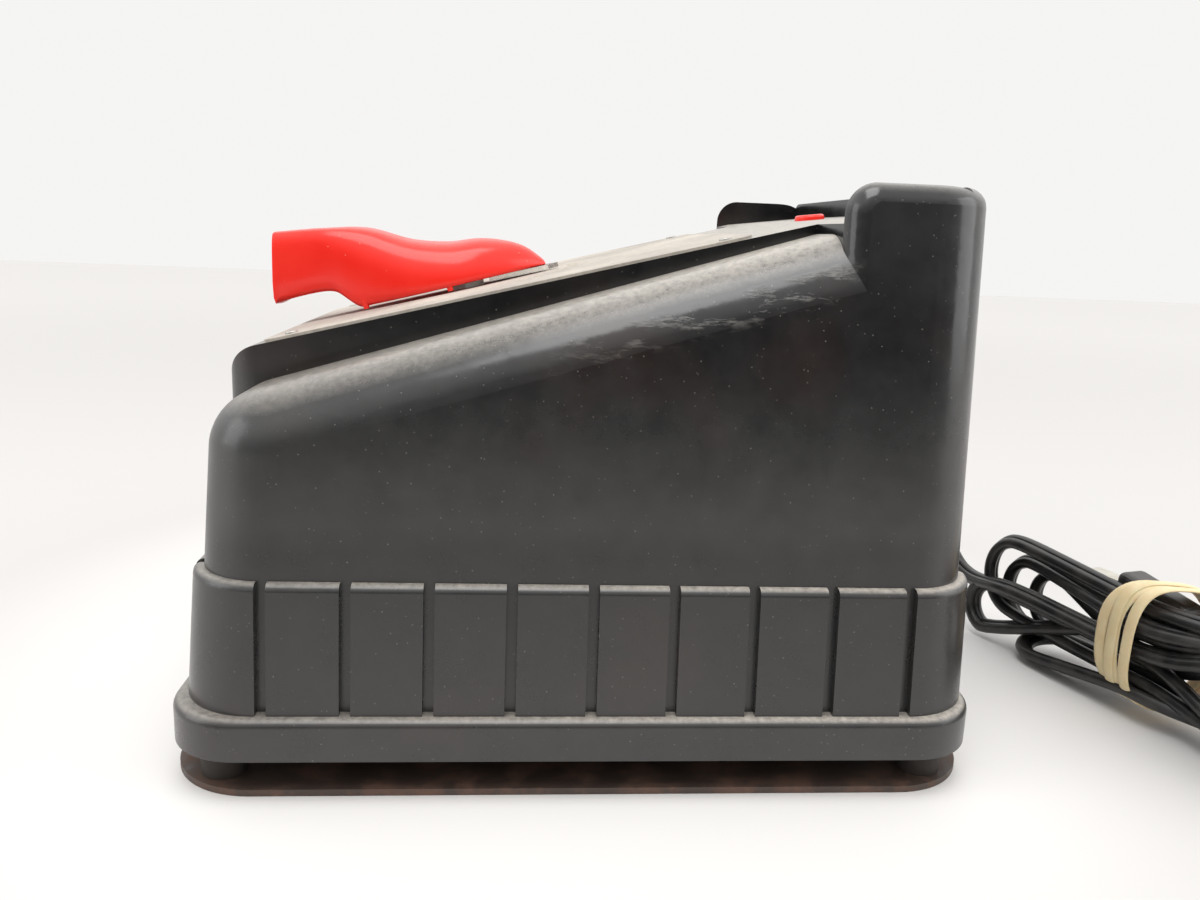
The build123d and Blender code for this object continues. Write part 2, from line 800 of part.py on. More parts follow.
def mains_cord():
    """The flex from the strain relief to the hank: straight runs joined by tangent arcs."""
    points = cord_route()
    radii = []
    for before, corner, after in zip(points, points[1:], points[2:]):
        turn = (corner - before).get_angle(after - corner)
        shorter = min((corner - before).length, (after - corner).length)
        radii.append(0.45 * shorter / tan(radians(turn / 2)))
    print("cord bend radii", [round(radius, 1) for radius in radii])
    path = FilletPolyline(*points, radius=radii)
    ring = Plane(origin=path @ 0, z_dir=path % 0) * Circle(cord_width / 2)
    tube = sweep(ring, path=path)
    print("cord volume over section times length", round(tube.volume / (ring.area * path.length), 4))
    print("cord length outside the hank", round(path.length, 1))
    return tube


def cord_hank():
    """The outer shape of the flex's tied loops."""
    outlines = []
    for place, across, height, middle in hank_sections:
        face = Plane(origin=(place, 0, middle), x_dir=(0, 1, 0), z_dir=(1, 0, 0))
        outlines.append(face * RectangleRounded(across, height, hank_rounding))
    return at(hank_plane, loft(outlines, ruled=True))


def rubber_band():
    """A rubber band, several turns thick, round the waist of the hank."""
    across, height, middle = hank_sections[3][1:]
    face = Plane(origin=(-band_width / 2, 0, middle), x_dir=(0, 1, 0), z_dir=(1, 0, 0))
    grow = 2 * band_thickness
    ring = RectangleRounded(across + grow, height + grow, hank_rounding + band_thickness)
    ring -= RectangleRounded(across, height, hank_rounding)
    return at(hank_plane, extrude(face * ring, band_width))


def plug_body():
    """A flat moulded plug with a tapered sleeve at the flex."""
    half_x = plug_width / 2
    half_z = plug_thickness / 2
    body = block((plug_rear - plug_length, plug_rear), (-half_x, half_x), (-half_z, half_z))
    body = fillet(body.edges().filter_by(Axis.X), plug_rounding)
    sleeve = Rot(0, 90, 0) * Cone(plug_sleeve_radius, plug_sleeve_tip_radius, plug_sleeve_length)
    sleeve = Pos(plug_rear - plug_sleeve_root + plug_sleeve_length / 2, 0, 0) * sleeve
    return at(hank_plane, Pos(0, 0, plug_height) * (body + sleeve))


def plug_blades():
    front = plug_rear - plug_length
    blade = block((front - blade_length, front), (-blade_thickness / 2, blade_thickness / 2),
                  (-blade_height / 2, blade_height / 2))
    pair = group(blade, [(0, -blade_spacing / 2, 0), (0, blade_spacing / 2, 0)])
    return at(hank_plane, Pos(0, 0, plug_height) * pair)


os.makedirs("parts", exist_ok=True)
save("cover", cover())
save("base_plate", base_plate())
for name, place in zip(("front_left", "rear_left", "front_right", "rear_right"), corners()):
    save(f"spacer_{name}", Pos(*place) * spacer())
save("base_screws", group(base_screw(), [(x, y, 0) for x, y in corners()]))
save("scale_plate", scale_plate())
save("scale_rivets", scale_rivets())
save("selector_lever", selector_lever())
save("lever_pointer", lever_pointer())
save("lever_shaft", lever_shaft())
save("shaft_bushing", shaft_bushing())
save("bushing_nut", bushing_nut())
save("contact_disc", contact_disc())
save("contact_studs", contact_studs())
save("wiper_arm", wiper_arm())
save("wiper_collar", wiper_collar())
save("reset_button", reset_button())
save("breaker_body", breaker_body())
save("terminal_board", terminal_board())
save("terminal_screws", terminal_screws())
save("terminal_washers", terminal_washers())
save("transformer_core", transformer_core())
save("winding_bobbin", winding_bobbin())
save("primary_winding", winding(0, primary_build))
save("secondary_winding", winding(primary_build, secondary_build))
save("transformer_strap", transformer_strap())
save("transformer_bolts", transformer_bolts())
save("heat_sink", heat_sink())
save("diodes", diodes())
save("diode_nuts", diode_nuts())
save("strain_relief", strain_relief())
save("mains_cord", mains_cord())
save("cord_hank", cord_hank())
save("rubber_band", rubber_band())
save("plug_body", plug_body())
save("plug_blades", plug_blades())
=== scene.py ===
import json
import math

import bmesh
import bpy
from mathutils import Matrix, Vector


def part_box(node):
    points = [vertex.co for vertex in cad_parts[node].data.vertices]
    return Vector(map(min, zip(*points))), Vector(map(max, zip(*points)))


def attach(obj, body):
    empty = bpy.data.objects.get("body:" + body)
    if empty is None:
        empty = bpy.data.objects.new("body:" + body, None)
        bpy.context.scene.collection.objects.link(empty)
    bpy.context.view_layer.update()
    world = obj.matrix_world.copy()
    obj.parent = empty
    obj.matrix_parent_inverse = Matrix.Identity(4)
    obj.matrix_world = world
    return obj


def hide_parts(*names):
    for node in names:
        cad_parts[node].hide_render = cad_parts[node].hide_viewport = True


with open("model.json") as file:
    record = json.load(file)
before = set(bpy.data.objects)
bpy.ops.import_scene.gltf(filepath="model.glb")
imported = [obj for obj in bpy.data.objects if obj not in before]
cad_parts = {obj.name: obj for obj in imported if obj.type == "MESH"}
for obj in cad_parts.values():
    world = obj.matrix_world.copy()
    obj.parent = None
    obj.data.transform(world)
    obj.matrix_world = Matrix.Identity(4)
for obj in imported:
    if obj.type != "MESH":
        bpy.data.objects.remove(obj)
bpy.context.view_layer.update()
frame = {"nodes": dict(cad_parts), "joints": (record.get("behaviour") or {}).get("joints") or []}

scene = bpy.context.scene
nodes = frame["nodes"]
joints = {joint["name"]: joint for joint in frame["joints"]}
MM = 0.001

# ---------------------------------------------------------------------------------------------
# Camera: level with the middle of the charger's right-hand side and a little above it, close
# enough that the far cheek and the far edge of the deck fall away behind the near ones.
camera_data = bpy.data.cameras.new("side_camera")
camera_data.lens = 30
camera_data.sensor_width = 36
camera_data.clip_start = 0.01
camera = bpy.data.objects.new("side_camera", camera_data)
scene.collection.objects.link(camera)
camera_yaw, camera_pitch, camera_roll = 0.085, 0.211, 0.040
camera_place = (0.3808, -0.0214, 0.1597)
camera.matrix_world = (
    Matrix.Translation(camera_place)
    @ Matrix.Rotation(math.pi / 2 - camera_yaw, 4, "Z")
    @ Matrix.Rotation(math.pi / 2 - camera_pitch, 4, "X")
    @ Matrix.Rotation(camera_roll, 4, "Z")
)
scene.camera = camera

# ---------------------------------------------------------------------------------------------
# Table top and lights: a matt white table, soft boxes overhead and at each end, and a room that
# is dim in front of the near side, so that the black cover shows only faint reflections there.
# The table's colour carries painted light: it is palest close round the charger, a painted lift of
# the charger's shadow, and greyer in a ring beyond and far off, painted shade that evens out the
# lamps' pool of light on the floor.
scene.view_settings.view_transform = "Standard"


def add(tree, kind, inputs=None, **settings):
    """Add a shader node. Each input is given a value, or the socket that it is linked from."""
    made = tree.nodes.new("ShaderNode" + kind)
    for name, value in settings.items():
        setattr(made, name, value)
    for socket, value in (inputs or {}).items():
        if isinstance(value, bpy.types.NodeSocket):
            tree.links.new(value, made.inputs[socket])
        else:
            made.inputs[socket].default_value = value
    return made


def paint(hex_colour):
    """An sRGB hex colour as linear red, green, blue and alpha."""
    parts = [int(hex_colour[start:start + 2], 16) / 255 for start in (1, 3, 5)]
    return [c / 12.92 if c <= 0.04045 else ((c + 0.055) / 1.055) ** 2.4 for c in parts] + [1.0]


def noise(tree, place, size, detail, roughness=0.5):
    """Fractal noise from 0 to 1, whose largest features are about size metres across."""
    return add(tree, "TexNoise", {"Vector": place, "Scale": 1 / size, "Detail": detail,
                                  "Roughness": roughness}).outputs[0]


def ranged(tree, value, given, wanted, smooth=False):
    """A value taken from one range to another and held at its ends."""
    return add(tree, "MapRange", {0: value, 1: given[0], 2: given[1], 3: wanted[0], 4: wanted[1]},
               interpolation_type="SMOOTHSTEP" if smooth else "LINEAR").outputs[0]


def blended(tree, share, first, second):
    """Two colours blended: the first where the share is 0, the second where it is 1."""
    return add(tree, "Mix", {0: share, 6: first, 7: second}, data_type="RGBA").outputs[2]


def worked(tree, operation, *values):
    """The result of a math node on two or three values."""
    return add(tree, "Math", dict(enumerate(values)), operation=operation).outputs[0]


def feed(tree, shader, sockets):
    """Link values into a shader's sockets."""
    for socket, value in sockets.items():
        tree.links.new(value, shader.inputs[socket])


def finish_of(name, sockets):
    """A new material, its tree and its shader, whose plain sockets are set."""
    material = bpy.data.materials.new(name)
    material.use_nodes = True
    tree = material.node_tree
    shader = tree.nodes["Principled BSDF"]
    for socket, value in sockets.items():
        shader.inputs[socket].default_value = value
    return material, tree, shader


def dress(piece, material):
    """Give a piece one material."""
    piece.data.materials.clear()
    piece.data.materials.append(material)


def piece_from(name, bm, material, body="charger", smooth=True):
    """Turn a finished bmesh into a piece that rides on a body."""
    mesh = bpy.data.meshes.new(name)
    bm.to_mesh(mesh)
    bm.free()
    for face in mesh.polygons:
        face.use_smooth = smooth
    made = bpy.data.objects.new(name, mesh)
    scene.collection.objects.link(made)
    dress(made, material)
    if body:
        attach(made, body)
    return made


table_white, table_tree, table_shader = finish_of("table_white", {"Roughness": 0.65, "IOR": 1.25})
table_place = add(table_tree, "TexCoord").outputs["Object"]
table_cloud = noise(table_tree, table_place, 1 / 6.0, 3.0)
away = add(table_tree, "VectorMath", {0: table_place}, operation="LENGTH").outputs["Value"]
# Painted shade: the table is greyer in a ring round the charger and far off, to damp the lamps' pool of
# light, and palest inside it, a painted lift of the charger's shadow.
painted_shade_ring = ranged(table_tree, away, (0.12, 0.27), (0.0, 1.0), smooth=True)
far_painted_shade = ranged(table_tree, away, (0.5, 2.2), (0.0, 1.0), smooth=True)
table_colour = blended(table_tree, table_cloud, paint("#e5e3e1"), paint("#e9e7e5"))
table_colour = blended(table_tree, painted_shade_ring, table_colour, paint("#c5c3c1"))
table_colour = blended(table_tree, far_painted_shade, table_colour, paint("#d2d0ce"))
feed(table_tree, table_shader, {"Base Color": table_colour})

table_depth, table_length, table_middle, table_gap = 4.0, 6.0, -1.2, 0.0001
table_mesh = bmesh.new()
bmesh.ops.create_grid(table_mesh, x_segments=2, y_segments=2, size=0.5)
bmesh.ops.scale(table_mesh, vec=(table_depth, table_length, 1.0), verts=table_mesh.verts)
bmesh.ops.translate(table_mesh, vec=(table_middle, 0.0, -table_gap), verts=table_mesh.verts)
table_top = piece_from("table_top", table_mesh, table_white, body=None)

world = bpy.data.worlds.new("pale_room")
scene.world = world
world.use_nodes = True
sky = world.node_tree
backdrop = sky.nodes["Background"]
direction = add(sky, "SeparateXYZ", {0: add(sky, "TexCoord").outputs["Generated"]})
overhead = ranged(sky, direction.outputs["Z"], (0.0, 0.7), (0.0, 1.05), smooth=True)
end_glow = worked(sky, "POWER", direction.outputs["Y"], 2.0)
behind = ranged(sky, direction.outputs["X"], (0.30, -0.5), (0.08, 0.62))
lit = worked(sky, "ADD", overhead, behind)
lit = worked(sky, "MULTIPLY_ADD", end_glow, 0.45, lit)
seen = add(sky, "LightPath").outputs["Is Camera Ray"]
strength = add(sky, "Mix", {0: seen, 2: lit, 3: 0.915})
feed(sky, backdrop, {"Strength": strength.outputs[0]})
backdrop.inputs["Color"].default_value = (1.0, 0.995, 0.985, 1.0)

charger_middle = Vector((0, 0, 0.08))


def soft_box(name, place, width, height, power):
    """A rectangular area light that points at the middle of the charger."""
    light = bpy.data.lights.new(name, "AREA")
    light.shape = "RECTANGLE"
    light.size = width
    light.size_y = height
    light.energy = power
    box = bpy.data.objects.new(name, light)
    box.location = place
    box.rotation_mode = "QUATERNION"
    box.rotation_quaternion = (charger_middle - Vector(place)).to_track_quat("-Z", "Y")
    scene.collection.objects.link(box)


soft_box("overhead", (0.38, -0.05, 1.2), 0.6, 0.9, 6.0)
soft_box("front_end", (0.35, -1.3, 0.55), 0.8, 0.9, 3.2)
soft_box("rear_end", (0.35, 1.3, 0.55), 0.8, 0.9, 3.2)

# ---------------------------------------------------------------------------------------------
# Mains flex: flat twin flex in black vinyl, two cores side by side with a groove between them.
# It leaves the rear wall, drops into the hank and is wound in five and a half loose upright
# loops, held at the waist by a rubber band, with its plug tucked in among them.
core_radius = 2.3 * MM
core_offset = 1.2 * MM
hank_middle = (0.068, 0.207, 0.0)
hank_angle = math.radians(14.0)
hank_place = Matrix.Translation(hank_middle) @ Matrix.Rotation(hank_angle, 4, "Z")
plug_across, plug_height = 3, 35.5


def in_hank(along, across, height):
    """A point of the hank: along it, across it and above the table, in millimetres."""
    return hank_place @ (Vector((along, across, height)) * MM)


# The free run, from the strain relief down into the far end of the hank.
flex_start = Vector((-34.8, 149.0, 45.0)) * MM
flex_points = [flex_start]
for bend in ((-34.8, 160.5, 44.5), (-34.8, 167.5, 38.5), (-33.0, 172.0, 29.5), (-27.5, 174.8, 23.0),
             (-18.0, 176.0, 21.5), (-7.0, 176.5, 23.0)):
    flex_points.append(Vector(bend) * MM)
flex_points += [in_hank(-66, -14, 26.5), in_hank(-50, -13.5, 27), in_hank(-32, -12, 26)]

# Each half turn runs out to one end of the hank, near (1) or far (-1), folds round an arc and
# comes back. It has its reach, its place across, the height of its middle, its radius, its lean
# in degrees and whether it climbs; then where it comes back through the tie, across and high.
half_turns = (
    ((1, 66, -9, 23, 17, 0, -1), (-6.3, 21)),
    ((-1, 86, -11, 13.5, 9.5, 0, -1), (-6.4, 31)),
    ((1, 69, -5, 24, 19, 0, -1), (-7, 13)),
    ((-1, 81, -8, 29.5, 15.5, 0, 1), (-6.4, 40.5)),
    ((1, 62, 0, 25, 17, 0, -1), (-2, 10)),
    ((-1, 75, -3, 24, 13.5, 0, 1), (-10.4, 34.5)),
    ((1, 68, 5, 23, 18, 0, -1), (2.6, 13)),
    ((-1, 66, 3, 22, 12.5, 0, 1), (-1.5, 19.5)),
    ((1, 63, 10, 22, 16, 0, -1), (-10.5, 9.5)),
    ((-1, 59, -1, 5.5, 12, 82, 1), (7, 8)),
)
arc_steps = 6
tie_reach = 7


def half_turn(end):
    """The points of one half turn's fold, from one straight run round to the other."""
    way, reach, across, middle, radius, lean, climb = end
    lean = math.radians(lean)
    out = []
    for step in range(arc_steps + 1):
        swing = math.pi * (step / arc_steps - 0.5) * climb
        lift = radius * math.sin(swing)
        along = way * (reach - radius + radius * math.cos(swing))
        out.append(Vector((along, across + lift * math.sin(lean), middle + lift * math.cos(lean))))
    return out


tie = (-10.4, 25)
for end, next_tie in half_turns:
    fold = half_turn(end)
    enter = Vector((end[0] * tie_reach, *tie))
    leave = Vector((end[0] * tie_reach, *next_tie))
    run = [enter, enter.lerp(fold[0], 0.5)] + fold + [leave.lerp(fold[-1], 0.5), leave]
    flex_points += [in_hank(*place) for place in run]
    tie = next_tie

# The last run goes out low, turns up round the near end and comes back into the plug.
flex_points += [in_hank(22, 5, 7), in_hank(42, 4, 8), in_hank(58, 4, 11), in_hank(68, 3.6, 21)]
flex_points += [in_hank(67, 3.2, 33), in_hank(56, 3, 39.5), in_hank(44, 3, 38.5), in_hank(34, 3, 36.5)]
flex_points += [in_hank(24, plug_across, plug_height)]

flex_section = bpy.data.curves.new("flex_section", "CURVE")
flex_section.dimensions = "2D"
outline = flex_section.splines.new("POLY")
lobe_steps, lobe_half = 8, math.radians(140)
lobe_angles = [lobe_half * (2 * step / lobe_steps - 1) for step in range(lobe_steps + 1)]
lobe = [(core_offset + core_radius * math.cos(a), core_radius * math.sin(a)) for a in lobe_angles]
lobe += [(-x, -y) for x, y in lobe]
outline.points.add(len(lobe) - 1)
for point, (x, y) in zip(outline.points, lobe):
    point.co = (x, y, 0, 1)
outline.use_cyclic_u = True
flex_profile = bpy.data.objects.new("flex_profile", flex_section)
flex_profile.hide_render = True
flex_profile.hide_viewport = True
scene.collection.objects.link(flex_profile)

flex_curve = bpy.data.curves.new("mains_flex", "CURVE")
flex_curve.dimensions = "3D"
flex_curve.twist_mode = "MINIMUM"
flex_curve.twist_smooth = 8
flex_curve.resolution_u = 5
flex_curve.bevel_mode = "OBJECT"
flex_curve.bevel_object = flex_profile
flex_curve.use_fill_caps = True
strand = flex_curve.splines.new("NURBS")
strand.points.add(len(flex_points) - 1)
for point, place in zip(strand.points, flex_points):
    point.co = (*place, 1.0)
    point.tilt = math.pi / 2
strand.order_u = 3
strand.use_endpoint_u = True
mains_flex = bpy.data.objects.new("mains_flex", flex_curve)
scene.collection.objects.link(mains_flex)

# Soft black vinyl, extruded: a satin sheen, greyed by handling and by dust in the groove.
black_vinyl, vinyl_tree, vinyl_shader = finish_of("black_vinyl", {"IOR": 1.53})
vinyl_place = add(vinyl_tree, "TexCoord")
vinyl_grime = noise(vinyl_tree, vinyl_place.outputs["Object"], 0.009, 4.0)
vinyl_dust = ranged(vinyl_tree, vinyl_grime, (0.42, 0.72), (0.0, 1.0))
vinyl_colour = blended(vinyl_tree, vinyl_dust, paint("#1b1b1b"), paint("#3a3835"))
vinyl_rough = ranged(vinyl_tree, vinyl_grime, (0.3, 0.7), (0.30, 0.48))
vinyl_grain = noise(vinyl_tree, vinyl_place.outputs["Object"], 0.0008, 2.0)
vinyl_bump = add(vinyl_tree, "Bump", {"Strength": 0.12, "Distance": 0.0002, "Height": vinyl_grain})
feed(vinyl_tree, vinyl_shader,
     {"Base Color": vinyl_colour, "Roughness": vinyl_rough, "Normal": vinyl_bump.outputs[0]})
dress(mains_flex, black_vinyl)
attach(mains_flex, "charger")
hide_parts("mains_cord", "cord_hank")

# ---------------------------------------------------------------------------------------------
# Strain relief: a tapered black rubber sleeve with moulded rings, gripped by its flange in the
# rear wall, that keeps the flex from kinking where it comes out.
relief_low, relief_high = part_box("strain_relief")
relief_axis = Vector(((relief_low.x + relief_high.x) / 2, 0.0, (relief_low.z + relief_high.z) / 2))
relief_mesh = bmesh.new()
neck_radius, flange_radius, flange_round = 6.1 * MM, 9.0 * MM, 0.4 * MM
flange_in, flange_out = relief_high.y - 29.9 * MM, relief_high.y - 28.0 * MM
relief_radii = [(relief_low.y, 0.0), (relief_low.y, neck_radius), (flange_in - 0.2 * MM, neck_radius),
                (flange_in, flange_radius - flange_round), (flange_in + 0.5 * MM, flange_radius),
                (flange_out - 0.6 * MM, flange_radius), (flange_out, flange_radius - flange_round)]
ring_count, ring_pitch, ring_width, groove_depth = 5, 4.8 * MM, 2.6 * MM, 1.1 * MM
ring_first, ring_narrows = 6.2 * MM, 0.33 * MM
for ring in range(ring_count):
    start = relief_high.y - 27.0 * MM + ring * ring_pitch
    ring_radius = ring_first - ring * ring_narrows
    groove_radius = ring_radius - groove_depth
    relief_radii += [(start, ring_radius), (start + ring_width, ring_radius - 0.15 * MM),
                     (start + ring_width + 0.3 * MM, groove_radius), (start + 4.3 * MM, groove_radius)]
tip_radius, tip_round = 4.4 * MM, 0.5 * MM
relief_radii += [(relief_high.y - 0.6 * MM, tip_radius), (relief_high.y, tip_radius - tip_round),
                 (relief_high.y, 0.0)]
relief_points = [relief_mesh.verts.new((relief_axis.x + radius, y, relief_axis.z))
                 for y, radius in relief_radii]
relief_edges = [relief_mesh.edges.new(pair) for pair in zip(relief_points, relief_points[1:])]
bmesh.ops.spin(relief_mesh, geom=relief_points + relief_edges, cent=relief_axis, axis=(0, 1, 0),
               angle=2 * math.pi, steps=40, use_merge=True)
bmesh.ops.remove_doubles(relief_mesh, verts=relief_mesh.verts, dist=1e-6)
bmesh.ops.recalc_face_normals(relief_mesh, faces=relief_mesh.faces)
relief_sleeve = piece_from("relief_sleeve", relief_mesh, black_vinyl, smooth=False)
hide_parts("strain_relief")

# ---------------------------------------------------------------------------------------------
# Rubber band: a cream office band, wound four times round the waist of the hank and the plug,
# its wraps lying unevenly over each other. Each wrap is a flat strip of soft moulded rubber.
cream_rubber, band_tree, band_shader = finish_of(
    "cream_rubber",
    {"IOR": 1.52, "Roughness": 0.55, "Subsurface Weight": 0.15, "Subsurface Scale": 0.002})
band_place = add(band_tree, "TexCoord").outputs["Object"]
band_tone = noise(band_tree, band_place, 0.006, 3.0)
band_colour = blended(band_tree, band_tone, paint("#d9bf8c"), paint("#efdfba"))
feed(band_tree, band_shader, {"Base Color": band_colour})
# Each wrap has its place along the hank, its slant across it and how far it stands proud.
wraps = ((-4.5, 0.62, 0.0), (-1.2, 0.50, 0.9), (2.2, 0.66, 0.3), (5.4, 0.48, 1.0))
around, section = 48, 10
band_half_width, band_half_height, band_middle = 14.6, 21.3, 26.8
strip_half_width, strip_half_thickness = 2.3, 0.55
band_square = 0.7
band_mesh = bmesh.new()
for start, slant, swell in wraps:
    wrap = bmesh.ops.create_grid(band_mesh, x_segments=around, y_segments=section, size=1.0)["verts"]
    for vertex in wrap:
        angle = math.pi * vertex.co.x
        turned = math.pi * vertex.co.y
        out = strip_half_thickness * math.sin(turned) + swell
        across, high = math.cos(angle), math.sin(angle)
        side = math.copysign(abs(across) ** band_square, across) * (band_half_width + out)
        up = math.copysign(abs(high) ** band_square, high) * (band_half_height + out)
        waver = 0.5 * math.sin(3 * angle + start)
        along = start + slant * side + strip_half_width * math.cos(turned) + waver
        vertex.co = in_hank(along, side, band_middle + up)
bmesh.ops.remove_doubles(band_mesh, verts=band_mesh.verts, dist=0.02 * MM)
bmesh.ops.recalc_face_normals(band_mesh, faces=band_mesh.faces)
hank_band = piece_from("hank_band", band_mesh, cream_rubber)
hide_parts("rubber_band")

# ---------------------------------------------------------------------------------------------
# Plug: a flat two-blade plug, moulded onto the flex in black vinyl, with finger grips on its
# sides and a short tapered sleeve. It lies on its side. Its blades are cut from tinned brass.
plug_place = (
    hank_place
    @ Matrix.Translation(Vector((0, plug_across, plug_height)) * MM)
    @ Matrix.Rotation(math.pi / 2, 4, "X")
)
plug_length, plug_width, plug_depth, plug_middle = 30, 24, 13, -7
plug_taper_width, plug_taper_depth, plug_round = 0.62, 0.85, 3.0 * MM
plug_mesh = bmesh.new()
bmesh.ops.create_cube(plug_mesh, size=1.0)
bmesh.ops.scale(plug_mesh, vec=Vector((plug_length, plug_width, plug_depth)) * MM,
                verts=plug_mesh.verts)
bmesh.ops.translate(plug_mesh, vec=Vector((plug_middle, 0, 0)) * MM, verts=plug_mesh.verts)
for vertex in plug_mesh.verts:
    if vertex.co.x > 0:
        vertex.co.y *= plug_taper_width
        vertex.co.z *= plug_taper_depth
bmesh.ops.bevel(plug_mesh, geom=plug_mesh.edges[:], offset=plug_round, offset_type="OFFSET", segments=4,
                profile=0.5, affect="EDGES", material=-1)
grip_count, grip_first, grip_pitch, grip_width, grip_proud = 3, -14, 5, 1.6, 6.3
for side in (-1, 1):
    for grip in range(grip_count):
        grip_length = 16 - 3 * grip
        rib = bmesh.ops.create_cube(plug_mesh, size=1.0)["verts"]
        bmesh.ops.scale(plug_mesh, vec=Vector((grip_width, grip_length, 1.0)) * MM, verts=rib)
        rib_place = Vector((grip_first + grip_pitch * grip, 0, side * grip_proud)) * MM
        bmesh.ops.translate(plug_mesh, vec=rib_place, verts=rib)
sleeve_length, sleeve_wide, sleeve_narrow, sleeve_middle = 18 * MM, 5.4 * MM, 4.0 * MM, 16 * MM
sleeve = bmesh.ops.create_cone(plug_mesh, cap_ends=True, segments=24, radius1=sleeve_wide,
                               radius2=sleeve_narrow, depth=sleeve_length)["verts"]
bmesh.ops.rotate(plug_mesh, cent=(0, 0, 0), matrix=Matrix.Rotation(math.pi / 2, 3, "Y"), verts=sleeve)
bmesh.ops.translate(plug_mesh, vec=Vector((sleeve_middle, 0, 0)), verts=sleeve)
bmesh.ops.transform(plug_mesh, matrix=plug_place, verts=plug_mesh.verts)
moulded_plug = piece_from("moulded_plug", plug_mesh, black_vinyl, smooth=False)
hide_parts("plug_body")

tinned_brass, tin_tree, tin_shader = finish_of("tinned_brass", {"Metallic": 1.0})
tin_place = add(tin_tree, "TexCoord").outputs["Object"]
tin_wear = noise(tin_tree, tin_place, 0.006, 2.0)
tin_colour = blended(tin_tree, tin_wear, paint("#b9b2a4"), paint("#d9d5cc"))
tin_rough = ranged(tin_tree, tin_wear, (0.3, 0.7), (0.22, 0.4))
feed(tin_tree, tin_shader, {"Base Color": tin_colour, "Roughness": tin_rough})
blade_size = Vector((17, 1.5, 6.3)) * MM
blade_middle, blade_apart, blade_round = -29.5, 12.7, 0.4 * MM
blade_mesh = bmesh.new()
for side in (-1, 1):
    blade = bmesh.ops.create_cube(blade_mesh, size=1.0)["verts"]
    bmesh.ops.scale(blade_mesh, vec=blade_size, verts=blade)
    bmesh.ops.translate(blade_mesh, vec=Vector((blade_middle, side * blade_apart / 2, 0)) * MM,
                        verts=blade)
bmesh.ops.bevel(blade_mesh, geom=blade_mesh.edges[:], offset=blade_round, offset_type="OFFSET",
                segments=2, profile=0.5, affect="EDGES", material=-1)
bmesh.ops.transform(blade_mesh, matrix=plug_place, verts=blade_mesh.verts)
flat_blades = piece_from("flat_blades", blade_mesh, tinned_brass, smooth=False)
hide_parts("plug_blades")

# ---------------------------------------------------------------------------------------------
# Cover: one compression moulding in black phenolic, screwed down on the base plate. It is
# satin-glossy, with brownish clouding, a grey film, a lighter grey low down that is a painted
# reflection of the white table, and dust on every upward face, brightened towards the rear as a
# painted sheen on the shoulder; the near shoulder is scuffed towards the rear. The breaker's body
# is the same phenolic.
aged_phenolic, cover_tree, cover_shader = finish_of("aged_phenolic", {"IOR": 1.68})
cover_place = add(cover_tree, "TexCoord")
cover_spot = cover_place.outputs["Object"]
upward = add(cover_tree, "SeparateXYZ", {0: cover_place.outputs["Normal"]}).outputs["Z"]
cloud = noise(cover_tree, cover_spot, 0.050, 4.0, 0.55)
brown_cloud = ranged(cover_tree, cloud, (0.50, 0.66), (0.0, 1.0))
film = noise(cover_tree, cover_spot, 0.011, 6.0, 0.65)
grey_film_and_reflection = ranged(cover_tree, film, (0.36, 0.86), (0.0, 0.22))
axes = add(cover_tree, "SeparateXYZ", {0: cover_spot})
height = axes.outputs["Z"]
# Painted reflection: the walls turn lighter grey low down, standing in for the reflection of the white
# table, a little less on the band at the foot.
painted_table_reflection = ranged(cover_tree, height, (0.132, 0.080), (0.0, 0.50))
band_reflection_share = ranged(cover_tree, height, (0.070, 0.078), (0.55, 1.0))
painted_table_reflection = worked(cover_tree, "MULTIPLY", painted_table_reflection, band_reflection_share)
grey_film_and_reflection = worked(cover_tree, "ADD", grey_film_and_reflection, painted_table_reflection)
tone = blended(cover_tree, brown_cloud, paint("#0c0c0d"), paint("#1f1512"))
tone = blended(cover_tree, grey_film_and_reflection, tone, paint("#403f3e"))
speck_map = add(cover_tree, "Mapping", {0: cover_spot, 2: (0.5, 0.7, 0.3)})
specks = add(cover_tree, "TexVoronoi", {"Vector": speck_map.outputs[0], "Scale": 1 / 0.0018})
speck_dot = ranged(cover_tree, specks.outputs["Distance"], (0.15, 0.06), (0.0, 1.0))
speck_pick = add(cover_tree, "SeparateXYZ", {0: specks.outputs["Color"]}).outputs["X"]
speck_pick = ranged(cover_tree, speck_pick, (0.45, 1.0), (0.0, 0.55))
speck = worked(cover_tree, "MULTIPLY", speck_dot, speck_pick)
tone = blended(cover_tree, speck, tone, paint("#8f8a82"))
dust_grain = noise(cover_tree, cover_spot, 0.0022, 6.0, 0.75)
dust_patch = ranged(cover_tree, dust_grain, (0.34, 0.62), (0.45, 1.0))
dust_lies = ranged(cover_tree, upward, (0.60, 0.94), (0.0, 0.80))
# Painted sheen: the dust is made brighter towards the rear, standing in for the highlight along the
# shoulder; the rest of it is real dust on upward faces.
rear_painted_sheen = ranged(cover_tree, axes.outputs["Y"], (-0.10, 0.05), (0.62, 1.2))
dust_high = ranged(cover_tree, height, (0.168, 0.175), (1.0, 0.25))
dust_and_sheen = worked(cover_tree, "MULTIPLY", dust_patch, dust_lies)
dust_and_sheen = worked(cover_tree, "MULTIPLY", dust_and_sheen, rear_painted_sheen)
dust_and_sheen = worked(cover_tree, "MULTIPLY", dust_and_sheen, dust_high)
tone = blended(cover_tree, dust_and_sheen, tone, paint("#b3aca2"))
